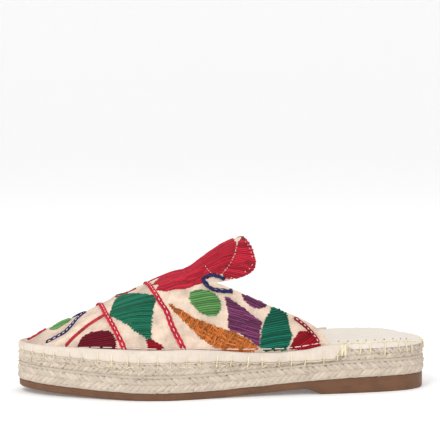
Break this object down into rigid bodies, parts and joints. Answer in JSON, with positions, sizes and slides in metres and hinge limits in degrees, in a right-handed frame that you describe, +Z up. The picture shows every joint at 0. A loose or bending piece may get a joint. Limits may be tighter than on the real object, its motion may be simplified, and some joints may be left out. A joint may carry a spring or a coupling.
{
  "type": "espadrille mule",
  "caption": "Backless women's espadrille mule with an embroidered canvas vamp, a standing instep tab and a flat braided jute platform on a rubber sole.",
  "frame": {"origin": "on the floor, at the middle of the shoe's bounding box seen from above", "axes": "+X towards the heel, -X towards the toe, -Y the outer (little toe) side, +Y the inner side, +Z up"},
  "size_m": [0.256, 0.0908, 0.0957],
  "materials": {
    "brown_rubber": "moulded brown rubber, dull",
    "jute_braid": "natural jute braid, matt",
    "cream_sock": "cream textile sock, matt",
    "cream_canvas": "cream canvas, matt",
    "embroidered_canvas": "beige canvas covered in satin stitch"
  },
  "bodies": {
    "root": {"outsole": "brown_rubber", "jute_lower": "jute_braid", "jute_upper": "jute_braid", "insole": "cream_sock", "foxing_band": "cream_canvas", "upper": "embroidered_canvas"}
  },
  "joints": []
}
